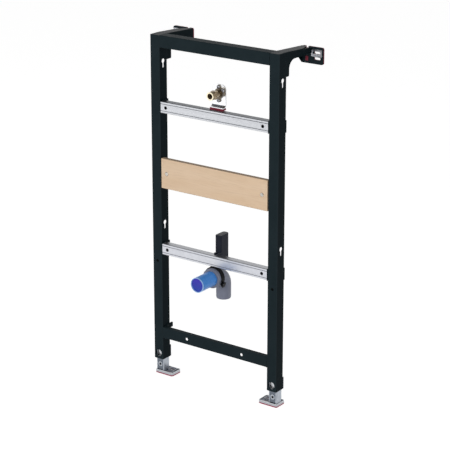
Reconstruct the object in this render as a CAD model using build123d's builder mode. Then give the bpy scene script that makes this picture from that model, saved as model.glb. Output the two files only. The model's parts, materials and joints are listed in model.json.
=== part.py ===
"""Urinal installation frame: two open steel posts on telescopic feet, joined by a
top and a bottom bar, with two fixing rails, a mounting board, a water supply
elbow, a drain bend and two arms that reach back to the wall."""

import os

from build123d import *

os.makedirs("parts", exist_ok=True)

# Overall frame. Sizes are in millimetres. Depth counts backwards from the posts'
# front plane, heights count from the floor, x counts from the frame's middle.
frame_width = 500.0
frame_top = 1175.0
slide_gap = 0.3

# Posts: roll-formed channels, open at the back between two lips
post_width = 37.0
post_depth = 40.0
post_wall = 2.0
post_corner = 2.5
post_lip = 9.0
post_bottom = 56.0

# Cut-outs in the posts. The keyholes count downwards from the frame's top.
keyhole_drops = (79.0, 624.0)
keyhole_height = 30.0
keyhole_head = 15.0
keyhole_slot = 7.0
front_hole = 10.5
front_hole_height = 410.0
lock_hole = 24.0
lock_hole_rise = 20.5

# Bars between the posts
top_bar_height = 40.0
bar_height = 38.0
bar_wall = 2.0
bar_corner = 3.0
bottom_bar_depth = 16.0
bottom_bar_height = 136.0
bottom_bar_hole = 10.0
bottom_bar_hole_x = 112.0
bar_plate = 3.0
bar_ear_reach = 12.0
bar_ear_height = 17.0
bar_ear_rise = 5.0

# Fixing rails and the clips that hang them on the posts. The upper rail and the
# mounting board hang from the frame's top, the lower rail stands over the floor.
rail_height = 38.0
rail_depth = 26.0
rail_wall = 2.0
rail_corner = 2.5
upper_rail_drop = 235.0
lower_rail_height = 455.0
rail_hole = 9.0
rail_hole_inset = 20.0
rail_groove = 1.6
rail_groove_offset = 11.5
clip_sheet = 3.0
clip_height = 40.0
clip_corner = 3.0

# Mounting board and its holders
board_height = 102.0
board_thickness = 15.0
board_drop = 457.0
board_hole = 12.0
board_hole_inset = 21.0
board_edge = 1.0
tab_height = 70.0
tab_reach = 16.0

# Arms from the post tops to the wall
arm_sheet = 2.5
arm_bend = 2.0
arm_reach = 178.0
arm_drop = 8.0
arm_web = 28.0
arm_arch = 30.0
arm_cut_x = 21.0
arm_cut_depth = 49.0
arm_leg_corner = 4.0
outer_leg_reach = 14.0
outer_leg_drop = 78.0
outer_toe = 6.0
inner_leg_reach = 22.0
inner_leg_drop = 85.0
inner_toe = 34.0

# Plates on the wall, their cushions and washers
plate_width = 80.0
plate_height = 54.0
plate_sheet = 3.0
plate_corner = 6.0
notch_start = 14.0
notch_width = 11.0
notch_depth = 6.0
notch_corner = 2.75
pad_thickness = 4.0
slot_length = 24.0
slot_width = 9.0
slot_pitch = 18.5
slot_edge = 22.5
washer_length = 38.0
washer_width = 23.0
washer_rim = 4.0
washer_base = 1.5
washer_border = 2.5
washer_slot = 28.0
washer_slot_shift = 2.0
lug_width = 10.0
lug_height = 15.0
lug_inset = 20.0
lug_rise = 1.0

# Telescopic feet
foot_width = 72.0
foot_depth = 48.0
foot_sheet = 5.0
foot_rim = 3.0
foot_border = 2.0
foot_corner = 6.0
foot_edge = 0.6
foot_middle = 28.0
foot_washer_length = 29.0
leg_wall = 2.5
leg_corner = 3.0
leg_ridge = 4.0
leg_groove = 1.0
leg_hole = 9.0
leg_hole_ring = 16.0
leg_hole_rise = 24.0
leg_side_gap = 0.5
leg_front = 8.0
leg_back_gap = 0.5
leg_top = 300.0
guide_height = 40.0
guide_sheet = 5.0
guide_corner = 1.6
lock_gap = 6.0
lock_height = 36.0
lock_wedge = 4.0

# Water supply: bracket on the upper rail with a wall-plate elbow
supply_plate_width = 52.0
supply_plate_rise = 81.0
supply_plate_corner = 17.0
supply_sheet = 3.0
supply_depth = 32.0
supply_foot_front = 17.0
supply_bend = 10.0
supply_pad_width = 50.0
supply_pad_front = 16.0
supply_pad_height = 6.0
supply_axis_rise = 51.0
supply_reach = 49.0
supply_socket = 27.0
supply_socket_length = 16.0
supply_body = 23.0
supply_bore = 18.6
supply_bore_depth = 15.0
supply_hex = 27.0
supply_hex_length = 13.0
supply_collar = 34.0
supply_flange = 4.0
supply_lug = 13.0
supply_lug_radius = 22.0
supply_lug_angles = (90.0, 270.0, 34.0)
supply_screw_head = 9.0
supply_screw_height = 4.0
supply_screw_dome = 2.5

# Drain: bend, clamp, holder and protective cap
drain_pipe = 50.0
drain_wall = 2.5
drain_axis_drop = 36.0
drain_centre_depth = 56.0
drain_bend_radius = 38.0
drain_bottom_height = 314.0
drain_bevel = 6.0
drain_bevel_depth = 1.5
drain_socket = 66.0
drain_socket_reach = 15.0
drain_socket_length = 31.0
drain_socket_lip = 2.0
drain_shoulder = 5.0
drain_neck = 6.0
cap_diameter = 50.0
cap_reach = 75.0
cap_wall = 2.0
cap_recess = 3.0
clamp_setback = 13.0
clamp_width = 15.0
clamp_thickness = 3.0
clamp_start_angle = 151.0
clamp_end_angle = -32.0
clamp_eye = 9.5
clamp_eye_angle = 40.0
clamp_eye_x = 35.0
clamp_eye_drop = 18.0
clamp_eye_hole = 6.0
holder_width = 24.0
holder_depth = 46.0
holder_rise = 102.0
holder_wall = 2.5
holder_corner = 3.0
holder_back = 9.0
hook_width = 6.0
hook_reach = 9.0
hook_height = 4.5

# Positions that follow from the sizes above
half_width = frame_width / 2
post_x = half_width - post_width / 2
inner_x = half_width - post_width
post_top = frame_top - arm_sheet
foot_x = half_width - foot_width / 2
clip_x = inner_x - clip_sheet
rail_hole_x = clip_x - rail_hole_inset
board_hole_x = clip_x - board_hole_inset
foot_top = pad_thickness + foot_sheet
leg_back = post_depth - post_wall - leg_back_gap
rail_centres = {"upper": frame_top - upper_rail_drop, "lower": lower_rail_height}
board_centre = frame_top - board_drop
bar_middle = bottom_bar_height + bar_height / 2

# The origin is under the middle of the left foot.
mid_x = foot_x
front_y = -foot_middle


def level(height):
    """Horizontal plane: local x across the frame, local y backwards."""
    return Plane(origin=(mid_x, front_y, height), x_dir=(1, 0, 0), z_dir=(0, 0, 1))


def facing(depth):
    """Upright plane seen from the front: local x across, local y up, normal forwards."""
    return Plane(origin=(mid_x, front_y + depth, 0), x_dir=(1, 0, 0), z_dir=(0, -1, 0))


def sideways(x):
    """Upright plane seen from the right: local x backwards, local y up, normal to +x."""
    return Plane(origin=(mid_x + x, front_y, 0), x_dir=(0, 1, 0), z_dir=(1, 0, 0))


def save(builder, name):
    """Label a finished piece and write it as its own file."""
    builder.part.label = name
    export_step(builder.part, f"parts/{name}.step")


# Posts
for side, sign in (("left", -1), ("right", 1)):
    with BuildPart() as post:
        with BuildSketch(level(post_bottom)):
            with Locations((sign * post_x, post_depth / 2)):
                RectangleRounded(post_width, post_depth, post_corner)
                RectangleRounded(
                    post_width - 2 * post_wall,
                    post_depth - 2 * post_wall,
                    post_corner - post_wall,
                    mode=Mode.SUBTRACT,
                )
            with Locations((sign * post_x, post_depth - post_wall / 2)):
                Rectangle(post_width - 2 * post_lip, 2 * post_wall, mode=Mode.SUBTRACT)
        extrude(amount=post_top - post_bottom)
        with BuildSketch(sideways(sign * post_x)):
            for keyhole_drop in keyhole_drops:
                keyhole_top = frame_top - keyhole_drop
                head_height = keyhole_top - keyhole_head / 2
                slot_end = keyhole_top - keyhole_height + keyhole_slot / 2
                with Locations((post_depth / 2, head_height)):
                    Circle(keyhole_head / 2)
                with Locations((post_depth / 2, (head_height + slot_end) / 2)):
                    Rectangle(keyhole_slot, head_height - slot_end)
                with Locations((post_depth / 2, slot_end)):
                    Circle(keyhole_slot / 2)
        extrude(amount=post_width, both=True, mode=Mode.SUBTRACT)
        with BuildSketch(facing(0)):
            with Locations((sign * post_x, front_hole_height)):
                Circle(front_hole / 2)
            with Locations((sign * post_x, post_bottom + lock_hole_rise)):
                Circle(lock_hole / 2)
        extrude(amount=-post_depth / 2, mode=Mode.SUBTRACT)
    save(post, f"{side}_post")

# Top bar: a closed tube between the posts
with BuildPart() as top_bar:
    with BuildSketch(sideways(-inner_x)):
        with Locations((post_depth / 2, frame_top - top_bar_height / 2)):
            RectangleRounded(post_depth, top_bar_height, bar_corner)
            RectangleRounded(
                post_depth - 2 * bar_wall,
                top_bar_height - 2 * bar_wall,
                bar_corner - bar_wall,
                mode=Mode.SUBTRACT,
            )
    extrude(amount=2 * inner_x)
save(top_bar, "top_bar")

# Bottom bar: a shallow channel with an eared plate at each post
with BuildPart() as bottom_bar:
    with BuildSketch(sideways(-inner_x)):
        with Locations((bottom_bar_depth / 2, bar_middle)):
            Rectangle(bottom_bar_depth, bar_height)
        with Locations((bottom_bar_depth / 2 + bar_wall, bar_middle)):
            Rectangle(bottom_bar_depth, bar_height - 2 * bar_wall, mode=Mode.SUBTRACT)
    extrude(amount=2 * inner_x)
    front_edges = bottom_bar.edges().filter_by(Axis.X).group_by(Axis.Y)[0]
    fillet(front_edges, bar_corner - bar_wall / 2)
    ear_depth = post_depth / 2 + bar_ear_reach
    ear_height = bottom_bar_height + bar_height + bar_ear_rise - bar_ear_height / 2
    for sign in (-1, 1):
        with BuildSketch(sideways(sign * inner_x)):
            with Locations((post_depth / 2, bar_middle)):
                Rectangle(post_depth, bar_height)
            with Locations(((post_depth + ear_depth) / 2, ear_height)):
                RectangleRounded(ear_depth, bar_ear_height, bar_corner)
        extrude(amount=-sign * bar_plate)
    with BuildSketch(facing(0)):
        with Locations((0, bar_middle)):
            with GridLocations(2 * bottom_bar_hole_x, 0, 2, 1):
                Circle(bottom_bar_hole / 2)
    extrude(amount=-bottom_bar_depth, mode=Mode.SUBTRACT)
save(bottom_bar, "bottom_bar")

# Fixing rails: galvanised tubes with two grooves along the front
for rail_name, rail_centre in rail_centres.items():
    with BuildPart() as rail:
        with BuildSketch(sideways(-clip_x)):
            with Locations((rail_depth / 2, rail_centre)):
                RectangleRounded(rail_depth, rail_height, rail_corner)
                RectangleRounded(
                    rail_depth - 2 * rail_wall,
                    rail_height - 2 * rail_wall,
                    rail_corner - rail_wall,
                    mode=Mode.SUBTRACT,
                )
            with Locations((0, rail_centre)):
                with GridLocations(0, 2 * rail_groove_offset, 1, 2):
                    Rectangle(rail_groove, rail_groove, rotation=45, mode=Mode.SUBTRACT)
        extrude(amount=2 * clip_x)
        with BuildSketch(facing(0)):
            with Locations((0, rail_centre)):
                with GridLocations(2 * rail_hole_x, 0, 2, 1):
                    Circle(rail_hole / 2)
        extrude(amount=-rail_depth / 2, mode=Mode.SUBTRACT)
    save(rail, f"{rail_name}_rail")

    # Clips: a tab between rail and post, with a web that grips the post's back
    for side, sign in (("left", -1), ("right", 1)):
        with BuildPart() as clip:
            with BuildSketch(level(rail_centre - clip_height / 2)):
                with Locations((sign * (inner_x - clip_sheet / 2), (post_depth + clip_sheet) / 2)):
                    Rectangle(clip_sheet, post_depth + clip_sheet)
                with Locations((sign * (half_width + clip_x) / 2, post_depth + clip_sheet / 2)):
                    Rectangle(half_width - clip_x, clip_sheet)
            extrude(amount=clip_height)
            bend = clip.edges().filter_by(Axis.Z).sort_by(Axis.Y)[-2:].sort_by(Axis.X)[0 if sign > 0 else -1]
            fillet(bend, clip_corner)
        save(clip, f"{rail_name}_{side}_clip")

# Mounting board of plywood, carried by an angle at each end
with BuildPart() as board:
    with BuildSketch(facing(0)):
        with Locations((0, board_centre)):
            Rectangle(2 * clip_x, board_height)
            with GridLocations(2 * board_hole_x, 0, 2, 1):
                Circle(board_hole / 2, mode=Mode.SUBTRACT)
    extrude(amount=-board_thickness)
    chamfer(board.edges().filter_by(Axis.X), board_edge)
save(board, "mounting_board")

for side, sign in (("left", -1), ("right", 1)):
    with BuildPart() as tab:
        with BuildSketch(level(board_centre - tab_height / 2)):
            with Locations((sign * (inner_x - clip_sheet / 2), (board_thickness + post_depth) / 2)):
                Rectangle(clip_sheet, post_depth - board_thickness)
            with Locations((sign * (inner_x - tab_reach / 2), board_thickness + clip_sheet / 2)):
                Rectangle(tab_reach, clip_sheet)
        extrude(amount=tab_height)
    save(tab, f"{side}_board_tab")

# Arms: a folded top that lies level on the post and slopes to the wall, on two webs
# whose legs run down behind the post
arm_end_top = frame_top - arm_drop
arm_plate_bottom = arm_end_top - plate_height
arch_top = frame_top - arm_web
arm_webs = (
    (half_width - arm_sheet, outer_leg_reach, outer_leg_drop, outer_toe),
    (inner_x, inner_leg_reach, inner_leg_drop, inner_toe),
)
for side, sign in (("left", -1), ("right", 1)):
    with BuildPart() as arm:
        with BuildSketch(sideways(sign * inner_x)):
            with BuildLine():
                Polyline(
                    (0, frame_top),
                    (post_depth, frame_top),
                    (arm_reach, arm_end_top),
                    (arm_reach, arm_end_top - arm_sheet),
                    (post_depth, post_top),
                    (0, post_top),
                    close=True,
                )
            make_face()
        extrude(amount=sign * post_width)
        top_faces = arm.faces().filter_by(lambda face: face.normal_at().Z > 0.5)
        fillet(top_faces.edges().filter_by(Axis.X, reverse=True), arm_bend)
        fillet(arm.edges().filter_by(Axis.X).group_by(Axis.Y)[0].sort_by(Axis.Z)[-1], arm_bend)
        with BuildSketch(level(arm_plate_bottom)):
            with BuildLine():
                Polyline(
                    (sign * half_width, arm_reach - arm_cut_depth),
                    (sign * (half_width - arm_cut_x), arm_reach),
                    (sign * half_width, arm_reach),
                    close=True,
                )
            make_face()
        extrude(amount=frame_top - arm_plate_bottom, mode=Mode.SUBTRACT)
        for web_x, leg_reach, leg_drop, toe in arm_webs:
            leg_end = post_depth + leg_reach
            with BuildSketch(sideways(sign * web_x)):
                with BuildLine():
                    Polyline(
                        (leg_end + arm_arch, arch_top),
                        (arm_reach - toe, arch_top),
                        (arm_reach, arch_top - toe),
                        (arm_reach, arm_end_top - arm_sheet),
                        (post_depth, post_top),
                        (post_depth, frame_top - leg_drop),
                        (leg_end, frame_top - leg_drop),
                        (leg_end, arch_top - arm_arch),
                    )
                    RadiusArc((leg_end, arch_top - arm_arch), (leg_end + arm_arch, arch_top), arm_arch)
                make_face()
            extrude(amount=sign * arm_sheet)
            leg_edges = arm.edges().filter_by(Axis.X).group_by(Axis.Z)[0]
            fillet(leg_edges.sort_by(Axis.Y)[-1], arm_leg_corner)
    save(arm, f"{side}_wall_arm")

    # Wall plate: a notch beside the arm, two slots and a window for the cushion's lug
    plate_x = inner_x + plate_width / 2
    slot_x = inner_x + plate_width - slot_edge
    slot_heights = (
        arm_end_top - plate_height / 2 + slot_pitch / 2,
        arm_end_top - plate_height / 2 - slot_pitch / 2,
    )
    lug_x = inner_x + lug_inset
    lug_height_at = arm_plate_bottom + lug_height
    with BuildPart() as wall_plate:
        with BuildSketch(facing(arm_reach)):
            with Locations((sign * plate_x, arm_end_top - plate_height / 2)):
                RectangleRounded(plate_width, plate_height, plate_corner)
            with Locations((sign * (inner_x + notch_start + notch_width / 2), arm_end_top)):
                RectangleRounded(notch_width, 2 * notch_depth, notch_corner, mode=Mode.SUBTRACT)
            with Locations(*[(sign * slot_x, height) for height in slot_heights]):
                SlotOverall(slot_length, slot_width, mode=Mode.SUBTRACT)
            with Locations((sign * lug_x, lug_height_at)):
                Rectangle(lug_width, lug_height, mode=Mode.SUBTRACT)
        extrude(amount=-plate_sheet)
    save(wall_plate, f"{side}_wall_plate")

    with BuildPart() as wall_pad:
        with BuildSketch(facing(arm_reach + plate_sheet)):
            with Locations((sign * plate_x, arm_end_top - plate_height / 2)):
                RectangleRounded(plate_width, plate_height, plate_corner)
            with Locations((sign * (inner_x + notch_start + notch_width / 2), arm_end_top)):
                RectangleRounded(notch_width, 2 * notch_depth, notch_corner, mode=Mode.SUBTRACT)
            with Locations(*[(sign * slot_x, height) for height in slot_heights]):
                SlotOverall(slot_length, slot_width, mode=Mode.SUBTRACT)
        extrude(amount=-pad_thickness)
        with BuildSketch(facing(arm_reach + plate_sheet)):
            with Locations((sign * lug_x, lug_height_at)):
                Rectangle(lug_width - 2 * slide_gap, lug_height - 2 * slide_gap)
        extrude(amount=plate_sheet + lug_rise)
    save(wall_pad, f"{side}_wall_pad")

    with BuildPart() as wall_washer:
        with BuildSketch(facing(arm_reach)):
            with Locations((sign * slot_x, slot_heights[0])):
                RectangleRounded(washer_length, washer_width, washer_border)
        extrude(amount=washer_rim)
        with BuildSketch(facing(arm_reach - washer_base)):
            with Locations((sign * slot_x, slot_heights[0])):
                Rectangle(washer_length - 2 * washer_border, washer_width - 2 * washer_border)
        extrude(amount=washer_rim, mode=Mode.SUBTRACT)
        with BuildSketch(facing(arm_reach)):
            with Locations((sign * (slot_x - washer_slot_shift), slot_heights[0])):
                SlotOverall(washer_slot, slot_width)
        extrude(amount=washer_rim, mode=Mode.SUBTRACT)
    save(wall_washer, f"{side}_wall_washer")

# Feet: a tube that slides in the post, on a rimmed plate with two slots and a cushion
leg_depth = leg_back - leg_front
leg_width = post_width - 2 * post_wall - 2 * leg_side_gap
foot_slot_x = half_width - foot_width + slot_edge
foot_slot_depths = (foot_middle + slot_pitch / 2, foot_middle - slot_pitch / 2)
for side, sign in (("left", -1), ("right", 1)):
    with BuildPart() as foot_pad:
        with BuildSketch(level(0)):
            with Locations((sign * foot_x, foot_middle)):
                RectangleRounded(foot_width, foot_depth, foot_corner)
            with Locations(*[(sign * foot_slot_x, depth) for depth in foot_slot_depths]):
                SlotOverall(slot_length, slot_width, mode=Mode.SUBTRACT)
        extrude(amount=pad_thickness)
    save(foot_pad, f"{side}_foot_pad")

    with BuildPart() as foot_plate:
        with BuildSketch(level(pad_thickness)):
            with Locations((sign * foot_x, foot_middle)):
                RectangleRounded(foot_width, foot_depth, foot_corner)
            with Locations(*[(sign * foot_slot_x, depth) for depth in foot_slot_depths]):
                SlotOverall(slot_length, slot_width, mode=Mode.SUBTRACT)
        extrude(amount=foot_sheet + foot_rim)
        with BuildSketch(level(foot_top)):
            with Locations((sign * foot_x, foot_middle)):
                RectangleRounded(
                    foot_width - 2 * foot_border,
                    foot_depth - 2 * foot_border,
                    foot_corner - foot_border,
                )
        extrude(amount=foot_rim, mode=Mode.SUBTRACT)
        fillet(foot_plate.faces().sort_by(Axis.Z)[-1].outer_wire().edges(), foot_edge)
    save(foot_plate, f"{side}_foot_plate")

    with BuildPart() as foot_leg:
        with BuildSketch(level(foot_top)):
            with Locations((sign * post_x, (leg_front + leg_back) / 2)):
                RectangleRounded(leg_width, leg_depth, leg_corner)
                RectangleRounded(
                    leg_width - 2 * leg_wall,
                    leg_depth - 2 * leg_wall,
                    leg_corner - leg_wall,
                    mode=Mode.SUBTRACT,
                )
            with Locations((sign * post_x, leg_front)):
                Rectangle(leg_width - 2 * leg_ridge, 2 * leg_groove, mode=Mode.SUBTRACT)
        extrude(amount=leg_top - foot_top)
        with BuildSketch(facing(leg_front + leg_groove)):
            with Locations((sign * post_x, foot_top + leg_hole_rise)):
                Circle(leg_hole_ring / 2)
        extrude(amount=leg_groove)
        with BuildSketch(facing(leg_front)):
            with Locations((sign * post_x, foot_top + leg_hole_rise)):
                Circle(leg_hole / 2)
        extrude(amount=-leg_depth / 2, mode=Mode.SUBTRACT)
    save(foot_leg, f"{side}_foot_leg")

    with BuildPart() as foot_washer:
        with BuildSketch(level(foot_top)):
            with Locations((sign * foot_slot_x, foot_slot_depths[0])):
                RectangleRounded(foot_washer_length, washer_width, washer_border)
        extrude(amount=washer_rim)
        with BuildSketch(level(foot_top + washer_base)):
            with Locations((sign * foot_slot_x, foot_slot_depths[0])):
                Rectangle(foot_washer_length - 2 * washer_border, washer_width - 2 * washer_border)
        extrude(amount=washer_rim, mode=Mode.SUBTRACT)
        with BuildSketch(level(foot_top)):
            with Locations((sign * foot_slot_x, foot_slot_depths[0])):
                SlotOverall(slot_length, slot_width)
        extrude(amount=washer_rim, mode=Mode.SUBTRACT)
    save(foot_washer, f"{side}_foot_washer")

    # Guide behind the leg and lock wedge in front of it, both in the post's end
    with BuildPart() as guide:
        with BuildSketch(level(post_bottom)):
            with Locations((sign * post_x, post_depth + guide_sheet / 2)):
                RectangleRounded(post_width, guide_sheet, guide_corner)
            with Locations((sign * post_x, (leg_back + post_depth + guide_sheet / 2) / 2)):
                Rectangle(
                    post_width - 2 * post_lip - 2 * slide_gap,
                    post_depth + guide_sheet / 2 - leg_back - 2 * slide_gap,
                )
        extrude(amount=guide_height)
    save(guide, f"{side}_foot_guide")

    lock_bottom = post_bottom + lock_hole_rise + lock_hole / 2 + lock_gap
    with BuildPart() as lock:
        with BuildSketch(facing(post_wall)):
            with Locations((sign * post_x, lock_bottom + lock_height / 2)):
                Rectangle(leg_width - 2 * (post_corner - post_wall), lock_height)
        extrude(amount=-(leg_front - slide_gap - post_wall))
        chamfer(lock.edges().filter_by(Axis.X).group_by(Axis.Y)[-1], lock_wedge)
    save(lock, f"{side}_foot_lock")

# Water supply: bracket with a cushion on the upper rail's top
rail_top = rail_centres["upper"] + rail_height / 2
pad_top = rail_top + supply_pad_height
supply_axis = rail_top + supply_axis_rise
supply_top = rail_top + supply_plate_rise
with BuildPart() as supply_pad:
    with BuildSketch(level(rail_top)):
        with Locations((0, (supply_pad_front + supply_depth + supply_sheet) / 2)):
            Rectangle(supply_pad_width, supply_depth + supply_sheet - supply_pad_front)
    extrude(amount=supply_pad_height)
save(supply_pad, "supply_pad")

with BuildPart() as supply_bracket:
    with BuildSketch(facing(supply_depth)):
        with Locations((0, (pad_top + supply_top) / 2)):
            Rectangle(supply_plate_width, supply_top - pad_top)
    extrude(amount=-supply_sheet)
    upper_corners = supply_bracket.edges().filter_by(Axis.Y).group_by(Axis.Z)[-1]
    fillet(upper_corners, supply_plate_corner)
    with BuildSketch(level(pad_top)):
        with Locations((0, (supply_foot_front + supply_depth) / 2)):
            Rectangle(supply_plate_width, supply_depth - supply_foot_front)
    extrude(amount=supply_sheet)
    bend_edges = supply_bracket.edges().filter_by(Axis.X)
    fillet(bend_edges.group_by(Axis.Z)[1].sort_by(Axis.Y)[-1], supply_bend)
    outer_edge = supply_bracket.edges().filter_by(Axis.X).group_by(Axis.Z)[0].sort_by(Axis.Y)[-1]
    fillet(outer_edge, supply_bend + supply_sheet)
save(supply_bracket, "supply_bracket")

# Wall elbow: a socket, a hexagon and a body on a flange with three lugs
socket_front = supply_depth - supply_reach
with BuildPart() as supply_elbow:
    with BuildSketch(facing(supply_depth)):
        with Locations((0, supply_axis)):
            Circle(supply_collar / 2)
            for angle in supply_lug_angles:
                with PolarLocations(supply_lug_radius / 2, 1, start_angle=angle):
                    SlotCenterToCenter(supply_lug_radius, supply_lug)
    extrude(amount=supply_flange)
    with BuildSketch(facing(supply_depth)):
        with Locations((0, supply_axis)):
            Circle(supply_body / 2)
    extrude(amount=supply_reach)
    with BuildSketch(facing(socket_front + supply_socket_length + supply_hex_length)):
        with Locations((0, supply_axis)):
            RegularPolygon(supply_hex / 2, 6, major_radius=False)
    extrude(amount=supply_hex_length)
    with BuildSketch(facing(socket_front)):
        with Locations((0, supply_axis)):
            Circle(supply_socket / 2)
    extrude(amount=-supply_socket_length)
    with BuildSketch(facing(socket_front)):
        with Locations((0, supply_axis)):
            Circle(supply_bore / 2)
    extrude(amount=-supply_bore_depth, mode=Mode.SUBTRACT)
save(supply_elbow, "supply_elbow")

with BuildPart() as supply_screws:
    with BuildSketch(facing(supply_depth - supply_flange)):
        with Locations((0, supply_axis)):
            for angle in supply_lug_angles:
                with PolarLocations(supply_lug_radius, 1, start_angle=angle):
                    Circle(supply_screw_head / 2)
    extrude(amount=supply_screw_height)
    fillet(supply_screws.edges().filter_by(GeomType.CIRCLE).group_by(Axis.Y)[0], supply_screw_dome)
save(supply_screws, "supply_screws")

# Drain bend: pipe swept round a quarter turn, with a lipped socket in front
rail_bottom = rail_centres["lower"] - rail_height / 2
drain_axis_height = rail_bottom - drain_axis_drop
drain_front = -drain_socket_reach
socket_back = drain_front + drain_socket_length
bore_back = socket_back - drain_neck
bend_front = drain_centre_depth - drain_bend_radius
bend_bottom = drain_axis_height - drain_bend_radius
with BuildPart() as drain_elbow:
    with BuildSketch(facing(drain_front)):
        with Locations((0, drain_axis_height)):
            Circle(drain_socket / 2)
    extrude(amount=-drain_socket_length)
    socket_rims = drain_elbow.edges().filter_by(GeomType.CIRCLE).sort_by(Axis.Y)
    fillet(socket_rims[0], drain_socket_lip)
    chamfer(drain_elbow.edges().filter_by(GeomType.CIRCLE).sort_by(Axis.Y)[-1], drain_shoulder)
    with BuildLine(sideways(0)) as drain_path:
        Line((bore_back, drain_axis_height), (bend_front, drain_axis_height))
        RadiusArc(
            (bend_front, drain_axis_height),
            (drain_centre_depth, bend_bottom),
            drain_bend_radius,
        )
        Line((drain_centre_depth, bend_bottom), (drain_centre_depth, drain_bottom_height))
    with BuildSketch(facing(bore_back)):
        with Locations((0, drain_axis_height)):
            Circle(drain_pipe / 2)
    sweep(path=drain_path.wire())
    spigot_end = drain_elbow.faces().sort_by(Axis.Z)[0]
    chamfer(spigot_end.edges(), drain_bevel_depth, drain_bevel, reference=spigot_end)
    with BuildSketch(facing(bore_back)):
        with Locations((0, drain_axis_height)):
            Circle(drain_pipe / 2 - drain_wall)
    sweep(path=drain_path.wire(), mode=Mode.SUBTRACT)
    with BuildSketch(facing(drain_front)):
        with Locations((0, drain_axis_height)):
            Circle(cap_diameter / 2 + slide_gap)
    extrude(amount=-(drain_socket_length - drain_neck), mode=Mode.SUBTRACT)
save(drain_elbow, "drain_elbow")

# Protective cap: a thin cup plugged into the socket, its closed end set back in a rim
cap_front = drain_front - cap_reach
cap_floor = cap_front + cap_recess + cap_wall
with BuildPart() as drain_cap:
    with BuildSketch(facing(cap_front)):
        with Locations((0, drain_axis_height)):
            Circle(cap_diameter / 2)
    extrude(amount=-(bore_back - cap_front))
    with BuildSketch(facing(cap_floor)):
        with Locations((0, drain_axis_height)):
            Circle(cap_diameter / 2 - cap_wall)
    extrude(amount=-(bore_back - cap_floor), mode=Mode.SUBTRACT)
    with BuildSketch(facing(cap_front)):
        with Locations((0, drain_axis_height)):
            Circle(cap_diameter / 2 - cap_wall)
    extrude(amount=-cap_recess, mode=Mode.SUBTRACT)
save(drain_cap, "drain_cap")

# Clamp: a band under the rail that reaches over the socket and ends in an eye, with a
# tongue that runs back to the holder
clamp_front = drain_front + clamp_setback
clamp_inner = drain_socket / 2
clamp_outer = clamp_inner + clamp_thickness
clamp_eye_height = drain_axis_height - clamp_eye_drop
holder_middle = rail_depth + holder_depth / 2
with BuildPart() as drain_clamp:
    with BuildSketch(facing(clamp_front)):
        with Locations((0, drain_axis_height)):
            Circle(clamp_outer)
        with BuildLine():
            low_cut = PolarLine((0, drain_axis_height), 2 * clamp_outer, clamp_end_angle)
            high_cut = PolarLine((0, drain_axis_height), 2 * clamp_outer, clamp_start_angle)
            Polyline(
                low_cut @ 1,
                (2 * clamp_outer, drain_axis_height - 2 * clamp_outer),
                (-2 * clamp_outer, drain_axis_height - 2 * clamp_outer),
                high_cut @ 1,
            )
        make_face(mode=Mode.SUBTRACT)
        with Locations((0, (drain_axis_height + rail_bottom) / 2)):
            Rectangle(holder_width, rail_bottom - drain_axis_height)
        with Locations((clamp_eye_x, clamp_eye_height)):
            RegularPolygon(clamp_eye, 3, rotation=clamp_eye_angle)
            Circle(clamp_eye_hole / 2, mode=Mode.SUBTRACT)
        with Locations((0, drain_axis_height)):
            Circle(clamp_inner, mode=Mode.SUBTRACT)
    extrude(amount=-clamp_width)
    with BuildSketch(level(rail_bottom)):
        with Locations((0, (clamp_front + clamp_width / 2 + holder_middle) / 2)):
            Rectangle(holder_width, holder_middle - clamp_front - clamp_width / 2)
    extrude(amount=-clamp_thickness)
save(drain_clamp, "drain_clamp")

# Holder: a hollow upright behind the lower rail, standing on the clamp's tongue, with
# two hooks over the rail
with BuildPart() as drain_holder:
    with BuildSketch(level(rail_bottom)) as holder_plan:
        with Locations((0, holder_middle)):
            Rectangle(holder_width, holder_depth)
        fillet(holder_plan.vertices().group_by(Axis.Y)[0], holder_corner)
        fillet(holder_plan.vertices().group_by(Axis.Y)[-1], holder_back)
    extrude(amount=holder_rise)
    fillet(drain_holder.faces().sort_by(Axis.Z)[-1].edges(), holder_corner / 2)
    with BuildSketch(level(rail_bottom)):
        add(holder_plan.sketch_local)
        offset(amount=-holder_wall)
    extrude(amount=holder_rise - holder_wall, mode=Mode.SUBTRACT)
    with BuildSketch(level(rail_bottom + rail_height)):
        with Locations((0, rail_depth - (hook_reach - holder_wall) / 2)):
            with GridLocations(holder_width - hook_width - holder_corner, 0, 2, 1):
                Rectangle(hook_width, hook_reach + holder_wall)
    extrude(amount=hook_height)
save(drain_holder, "drain_holder")
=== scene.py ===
import json
import math

import bpy
import numpy as np
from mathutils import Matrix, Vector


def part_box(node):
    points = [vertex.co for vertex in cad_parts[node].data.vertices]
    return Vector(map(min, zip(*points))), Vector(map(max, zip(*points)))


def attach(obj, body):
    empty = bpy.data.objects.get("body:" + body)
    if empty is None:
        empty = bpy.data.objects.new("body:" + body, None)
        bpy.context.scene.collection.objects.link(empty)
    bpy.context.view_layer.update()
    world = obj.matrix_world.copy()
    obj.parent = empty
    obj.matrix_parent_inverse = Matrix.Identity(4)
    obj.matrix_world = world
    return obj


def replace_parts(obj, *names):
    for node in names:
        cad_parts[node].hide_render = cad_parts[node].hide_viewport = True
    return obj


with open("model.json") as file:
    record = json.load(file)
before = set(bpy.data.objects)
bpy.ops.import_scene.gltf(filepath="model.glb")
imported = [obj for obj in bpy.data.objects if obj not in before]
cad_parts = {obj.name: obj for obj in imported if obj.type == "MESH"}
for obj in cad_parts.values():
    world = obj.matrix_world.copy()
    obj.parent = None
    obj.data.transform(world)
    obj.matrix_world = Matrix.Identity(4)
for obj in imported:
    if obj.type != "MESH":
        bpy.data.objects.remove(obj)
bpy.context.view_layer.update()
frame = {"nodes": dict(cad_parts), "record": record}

cadNodes = frame["nodes"]
mounts = {mount["name"]: mount for mount in frame["record"]["mounts"]}
perMetre = 1000.0  # the record gives sizes in mm
scene = bpy.context.scene
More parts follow.
